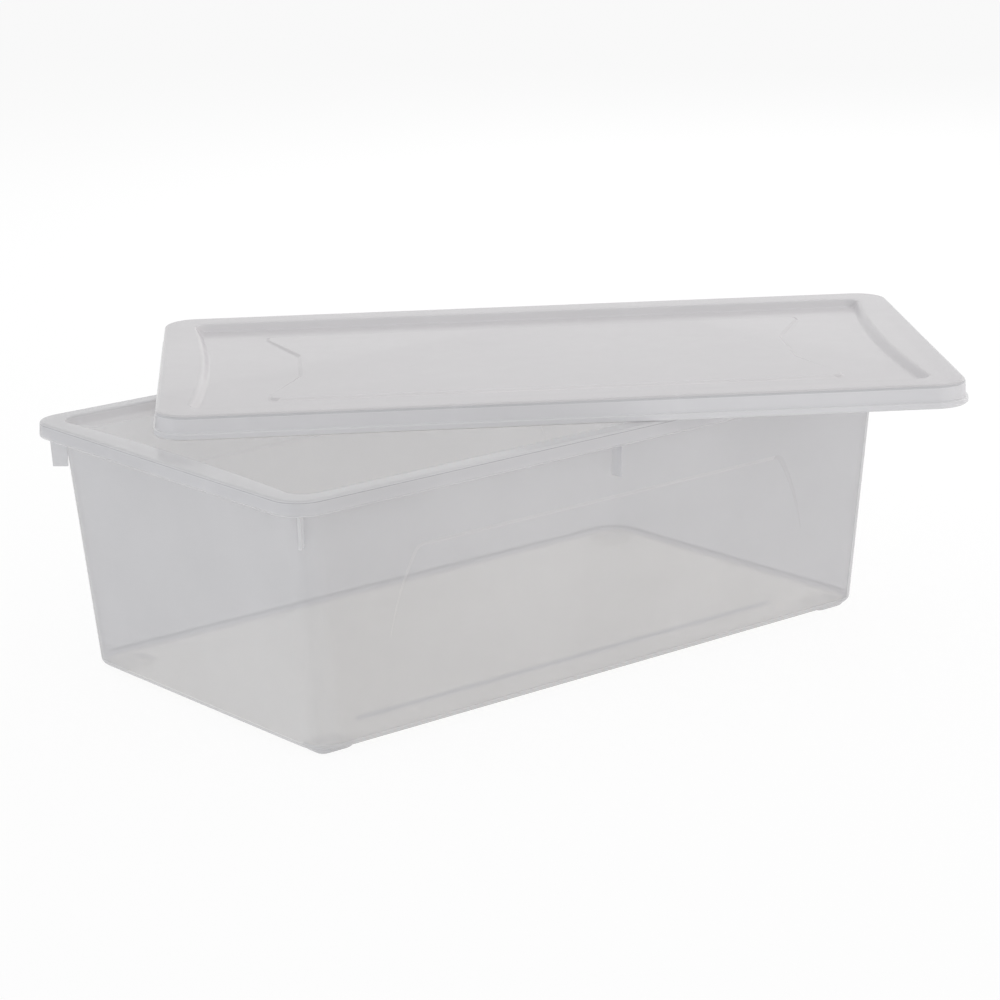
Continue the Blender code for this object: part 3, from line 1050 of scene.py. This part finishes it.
class NodeTree:
    """A short way of adding and linking shader nodes."""

    MIX_FACTOR = 0
    MIX_COLOURS = (6, 7)
    MIX_RESULT = 2

    def __init__(self, tree: ShaderNodeTree) -> None:
        """Start from the tree, emptied."""
        self.tree = tree
        tree.nodes.clear()

    def add(
        self,
        kind: str,
        settings: dict[str, object] | None = None,
        numbered: dict[int, object] | None = None,
        **named: object,
    ) -> Node:
        """Add a node.

        Args:
            kind: The node's type.
            settings: Properties of the node itself.
            numbered: Input sockets by number, each a value or another socket.
            **named: Input sockets by name in the same way, spaces as underscores.

        Returns:
            The node.
        """
        node = self.tree.nodes.new(kind)
        for key, value in (settings or {}).items():
            setattr(node, key, value)
        values = {key.replace("_", " "): value for key, value in named.items()}
        for key, value in {**values, **(numbered or {})}.items():
            socket = node.inputs[key]
            if isinstance(value, NodeSocket):
                self.tree.links.new(value, socket)
            else:
                socket.default_value = value
        return node

    def where_seen(self, unseen: float, seen: float) -> NodeSocket:
        """Give one value to what the camera sees, also mirrored or through glass, and another to the light.

        Args:
            unseen: The value for the light on the object.
            seen: The value for what is seen.

        Returns:
            The socket of the value.
        """
        path = self.add("ShaderNodeLightPath").outputs
        share = path["Is Camera Ray"]
        for ray in ("Is Glossy Ray", "Is Transmission Ray"):
            larger = self.add("ShaderNodeMath", {"operation": "MAXIMUM"}, {0: share, 1: path[ray]})
            share = larger.outputs["Value"]
        return self.add("ShaderNodeMapRange", Value=share, To_Min=unseen, To_Max=seen).outputs["Result"]


@dataclass(frozen=True)
class ClearPlastic:
    """Clear, slightly milky polypropylene, with the marks of its mould.

    Attributes:
        name: The material's name.
        colour: Its colour.
        cover: How much of what is behind one face it hides.
        milk: How much its colour varies with its slow clouds.
        smooth: Its roughness where it is cleanest.
        dull: Its roughness where it is scuffed.
        wave: How deep the slow waves of its surface are.
        gloss: How strongly it mirrors.
    """

    name: str
    colour: Colour
    cover: float
    milk: float = 0.02
    smooth: float = 0.12
    dull: float = 0.22
    wave: float = 0.0003
    gloss: float = 0.3

    def shade(self, by: float) -> list[float]:
        """Return the colour, lighter by a share of itself, as a socket takes it."""
        return [value * (1 + by) for value in self.colour] + [1.0]

    def material(self) -> Material:
        """Make the finish's material.

        Returns:
            The material.
        """
        material = bpy.data.materials.new(self.name)
        material.use_nodes = True
        nodes = NodeTree(material.node_tree)
        place = nodes.add("ShaderNodeTexCoord").outputs["Object"]
        clouds = nodes.add("ShaderNodeTexNoise", Vector=place, Scale=16.0, Detail=4.0, Roughness=0.55)
        spread = nodes.add("ShaderNodeMapRange", Value=clouds.outputs["Fac"], From_Min=0.3, From_Max=0.7)
        sockets = dict(zip(nodes.MIX_COLOURS, (self.shade(-self.milk), self.shade(self.milk))))
        sockets[nodes.MIX_FACTOR] = spread.outputs["Result"]
        colour = nodes.add("ShaderNodeMix", {"data_type": "RGBA"}, sockets).outputs[nodes.MIX_RESULT]
        scuffs = nodes.add("ShaderNodeTexNoise", Vector=place, Scale=60.0, Detail=5.0, Roughness=0.6)
        gloss = nodes.add(
            "ShaderNodeMapRange",
            Value=scuffs.outputs["Fac"], From_Min=0.3, From_Max=0.75, To_Min=self.smooth, To_Max=self.dull,
        )
        waves = nodes.add("ShaderNodeTexNoise", Vector=place, Scale=22.0, Detail=2.0, Roughness=0.4)
        slow = nodes.add("ShaderNodeBump", Height=waves.outputs["Fac"], Strength=0.35, Distance=self.wave)
        shader = nodes.add(
            "ShaderNodeBsdfPrincipled",
            Base_Color=colour, Roughness=gloss.outputs["Result"], IOR=1.49,
            Specular_IOR_Level=self.gloss, Alpha=self.cover, Normal=slow.outputs["Normal"],
        )
        nodes.add("ShaderNodeOutputMaterial", Surface=shader.outputs["BSDF"])
        return material


@dataclass(frozen=True)
class Lamp:
    """A soft lamp that points at the object, shines through clear pieces and is mirrored by none.

    Attributes:
        name: The lamp's name.
        place: Where it hangs.
        size: The side of its square.
        power: Its power in watts.
        colour: The colour of its light.
    """

    name: str
    place: tuple[float, float, float]
    size: float
    power: float
    colour: Colour = WHITE

    def hang(self, target: Vector) -> None:
        """Add the lamp.

        Args:
            target: The point that it is turned to.
        """
        data = bpy.data.lights.new(self.name, "AREA")
        data.shape = "SQUARE"
        data.size = self.size
        data.energy = self.power
        data.color = self.colour
        data.use_shadow = False
        lamp = add_object(self.name, data)
        lamp.location = self.place
        lamp.visible_glossy = False
        lamp.rotation_euler = (target - Vector(self.place)).to_track_quat("-Z", "Y").to_euler()


@dataclass(frozen=True)
class Studio:
    """The pale floor, the even light and the camera of the photograph.

    The even light has the strength light, and lamps are turned to a point at aim_height. What is seen
    of the floor is drawn to white by floor_white. A ray passes as many as clear_faces clear faces. The
    camera stands at eye from the middle of the tub's base, azimuth to the right of the front. Its focal
    length is lens_share times its sensor's width in millimetres.
    """

    light: float = 0.64
    floor_colour: Colour = (0.93, 0.93, 0.93)
    floor_white: float = 0.86
    floor_half: float = 30.0
    aim_height: float = 0.06
    clear_faces: int = 32
    eye: tuple[float, float, float] = (-0.870297, -1.088630, 0.444007)
    azimuth: float = -39.01
    elevation: float = 15.21
    roll: float = -1.41
    lens_share: float = 3.11533
    sensor: float = 36.0
    lamps: tuple[Lamp, ...] = (
        Lamp("top", (1.0, 0.7, 1.0), 0.9, 10.2),
        Lamp("left", (-2.35, -0.5, 0.5), 0.4, 16.5, (0.97, 0.985, 1.0)),
        Lamp("front", (1.2, -1.6, 0.5), 0.4, 14.0, (1.0, 0.978, 0.965)),
    )

    def build(self, middle: Vector) -> None:
        """Add the floor, the world, the lamps and the camera.

        Args:
            middle: Where the middle of the tub's base lies.
        """
        self.add_floor()
        self.add_world()
        for lamp in self.lamps:
            lamp.hang(Vector((0, 0, self.aim_height)))
        self.add_camera(middle)
        scene = bpy.context.scene
        scene.view_settings.view_transform = "Standard"
        scene.cycles.transparent_max_bounces = self.clear_faces

    def add_floor(self) -> None:
        """Add the wide pale floor."""
        material = bpy.data.materials.new("pale_floor")
        material.use_nodes = True
        nodes = NodeTree(material.node_tree)
        lit = nodes.add("ShaderNodeBsdfDiffuse", Color=(*self.floor_colour, 1.0)).outputs["BSDF"]
        white = nodes.add("ShaderNodeEmission", Color=(*WHITE, 1.0), Strength=1.0).outputs["Emission"]
        share = nodes.where_seen(0.0, self.floor_white)
        mixed = nodes.add("ShaderNodeMixShader", numbered={0: share, 1: lit, 2: white})
        nodes.add("ShaderNodeOutputMaterial", Surface=mixed.outputs["Shader"])
        mesh = bmesh.new()
        bmesh.ops.create_grid(mesh, x_segments=1, y_segments=1, size=self.floor_half)
        add_mesh("floor", mesh, [material])

    def add_world(self) -> None:
        """Light the scene evenly, and show white wherever the camera sees past the floor."""
        world = bpy.data.worlds.new("studio")
        bpy.context.scene.world = world
        world.use_nodes = True
        nodes = NodeTree(world.node_tree)
        strength = nodes.where_seen(self.light, 1.0)
        sky = nodes.add("ShaderNodeBackground", Color=(*WHITE, 1.0), Strength=strength)
        nodes.add("ShaderNodeOutputWorld", Surface=sky.outputs["Background"])

    def add_camera(self, middle: Vector) -> None:
        """Add the camera where the photograph was taken from.

        Args:
            middle: Where the middle of the tub's base lies.
        """
        azimuth, elevation = math.radians(self.azimuth), math.radians(self.elevation)
        level = math.cos(elevation)
        ahead = -Vector((math.sin(azimuth) * level, -math.cos(azimuth) * level, math.sin(elevation)))
        right = ahead.cross(Vector((0, 0, 1))).normalized()
        up = right.cross(ahead)
        turn = Matrix.Rotation(math.radians(-self.roll), 3, ahead)
        right, up = turn @ right, turn @ up
        data = bpy.data.cameras.new("camera")
        data.sensor_width = self.sensor
        data.lens = self.lens_share * self.sensor
        camera = add_object("camera", data)
        turned = Matrix((right, up, -ahead)).transposed().to_4x4()
        camera.matrix_world = Matrix.Translation(middle + Vector(self.eye)) @ turned
        bpy.context.scene.camera = camera


@dataclass(frozen=True)
class StorageBox:
    """The whole object: the tub, and the lid as it lies on the rim.

    The finishes of each stand in the order of their zones; many have light or shade painted in.
    """

    tub: Tub = Tub()
    lid: Lid = Lid()
    lid_turn: float = -34.8
    lid_shift: Pair = (0.0468, 0.0072)
    lid_gap: float = 0.0003
    tub_finish: tuple[ClearPlastic, ...] = (
        ClearPlastic("tub_wall_plastic", (0.55, 0.548, 0.561), cover=0.5, milk=0.03, gloss=0.1),
        # Painted light: the floor is lighter and warmer than the walls, as the light and the warm reflection
        # that fall on it.
        ClearPlastic(
            "tub_floor_lit_plastic", (0.795, 0.757, 0.665), cover=0.5, milk=0.03, smooth=0.05, dull=0.1, gloss=0.5
        ),
        ClearPlastic("tub_rim_plastic", (0.586, 0.581, 0.594), cover=0.76),
        # Painted highlight: the gussets are near white, as the light that they catch edge-on.
        ClearPlastic("tub_gusset_highlight_plastic", (0.9, 0.9, 0.91), cover=0.9),
        # Painted highlight along thin edges.
        ClearPlastic("tub_edge_highlight_plastic", (0.59, 0.586, 0.593), cover=0.5, smooth=0.04, dull=0.08, gloss=0.8),
        # Painted shade: dark lines along the raised panel and inside the feet.
        ClearPlastic("tub_shade_line_plastic", (0.33, 0.33, 0.34), cover=0.5),
        # Painted light: a little lighter than the walls, as the light line of the panel's slope.
        ClearPlastic("tub_step_plastic", (0.582, 0.576, 0.583), cover=0.52),
        # Painted shade: a thin dark line along the rim's edge.
        ClearPlastic("tub_edge_shade_plastic", (0.42, 0.42, 0.43), cover=0.7, smooth=0.04, dull=0.08, gloss=1.0),
        # Painted shade: the floor's far edges are dark.
        ClearPlastic("tub_fillet_shade_plastic", (0.24, 0.24, 0.245), cover=0.65, gloss=0.2),
        ClearPlastic("tub_heel_plastic", (0.51, 0.508, 0.52), cover=0.85, gloss=0.2),
        ClearPlastic("tub_skirt_plastic", (0.54, 0.538, 0.552), cover=0.78, gloss=0.01),
        # Denser, and painted darker as the shade along the outline.
        ClearPlastic("tub_corner_shade_plastic", (0.53, 0.528, 0.54), cover=0.8, milk=0.03, gloss=0.05),
        ClearPlastic("tub_rib_plastic", (0.56, 0.558, 0.573), cover=0.5),
        # Painted light: lighter, as the line that a web shows edge-on.
        ClearPlastic("tub_web_lit_plastic", (0.585, 0.583, 0.595), cover=0.8, gloss=0.2),
        # Painted light: lighter, against the shade under the rim.
        ClearPlastic("tub_collar_lit_plastic", (0.63, 0.627, 0.642), cover=0.8, gloss=0.1),
        # Painted shade on the right slope of a wall panel.
        ClearPlastic("tub_shade_plastic", (0.52, 0.513, 0.525), cover=0.51),
    )
    lid_finish: tuple[ClearPlastic, ...] = (
        ClearPlastic("lid_top_plastic", (0.584, 0.57, 0.584), cover=0.84, milk=0.01, wave=0.0001),
        ClearPlastic("lid_edge_plastic", (0.61, 0.60, 0.61), cover=0.84, gloss=0.2),
        ClearPlastic("lid_skirt_plastic", (0.607, 0.604, 0.619), cover=0.9, gloss=0.01),
        # Painted highlight: the gussets are near white, as the light that they catch edge-on.
        ClearPlastic("lid_gusset_highlight_plastic", (0.86, 0.86, 0.87), cover=0.95),
        # Painted highlight along the lip's edges.
        ClearPlastic("lid_lip_highlight_plastic", (0.62, 0.62, 0.63), cover=0.85, smooth=0.04, dull=0.08, gloss=0.5),
        # Painted shade: dark lines along the notched ends of the raised panel.
        ClearPlastic("lid_shade_line_plastic", (0.565, 0.55, 0.562), cover=0.84),
        ClearPlastic("lid_step_plastic", (0.578, 0.565, 0.577), cover=0.84, gloss=0.2),
        # Painted shade: a thin dark line along the top edge.
        ClearPlastic("lid_edge_shade_plastic", (0.46, 0.46, 0.475), cover=0.84, smooth=0.04, dull=0.08, gloss=1.0),
        # Painted light: the recess's back slope is lighter, against its shade.
        ClearPlastic("lid_fillet_lit_plastic", (0.63, 0.62, 0.632), cover=0.84, gloss=0.2),
        # Painted light: the panel's long slopes are lighter, against their shade.
        ClearPlastic("lid_slope_lit_plastic", (0.665, 0.652, 0.663), cover=0.84, gloss=0.2),
    )

    SHARP_ANGLE = 35.0

    def middle(self) -> Vector:
        """Return where the middle of the tub's base lies, read from the CAD tub."""
        low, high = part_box(Moulding.TUB.value)
        return Vector(((low[0] + high[0]) / 2, (low[1] + high[1]) / 2, 0))

    def dress(self, piece: Object, which: Moulding, place: Matrix) -> None:
        """Put a finished skin where it belongs and tie it to its body.

        Args:
            piece: The skin, drawn round its own middle.
            which: The moulding that it stands for.
            place: Where its middle goes.
        """
        piece.data.transform(place)
        piece.data.shade_smooth()
        piece.data.set_sharp_from_angle(angle=math.radians(self.SHARP_ANGLE))
        modifier = piece.modifiers.new("even_normals", "WEIGHTED_NORMAL")
        modifier.keep_sharp = True
        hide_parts(which.value)
        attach(piece, which.value)
        log.info("%s: %d faces", piece.name, len(piece.data.polygons))

    def build(self) -> None:
        """Build the tub and the lid and put them in place."""
        middle = self.middle()
        seat = middle + Vector((self.lid_shift[0], self.lid_shift[1], self.tub.height + self.lid_gap))
        tub = self.tub.build([finish.material() for finish in self.tub_finish])
        self.dress(tub, Moulding.TUB, Matrix.Translation(middle))
        lid = self.lid.build([finish.material() for finish in self.lid_finish])
        turned = Matrix.Translation(seat) @ Matrix.Rotation(math.radians(self.lid_turn), 4, "Z")
        self.dress(lid, Moulding.LID, turned)


def main() -> None:
    logging.basicConfig(level=logging.INFO, format="%(message)s")
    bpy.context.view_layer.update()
    box = StorageBox()
    box.build()
    Studio().build(box.middle())


if __name__ == "__main__":
    main()
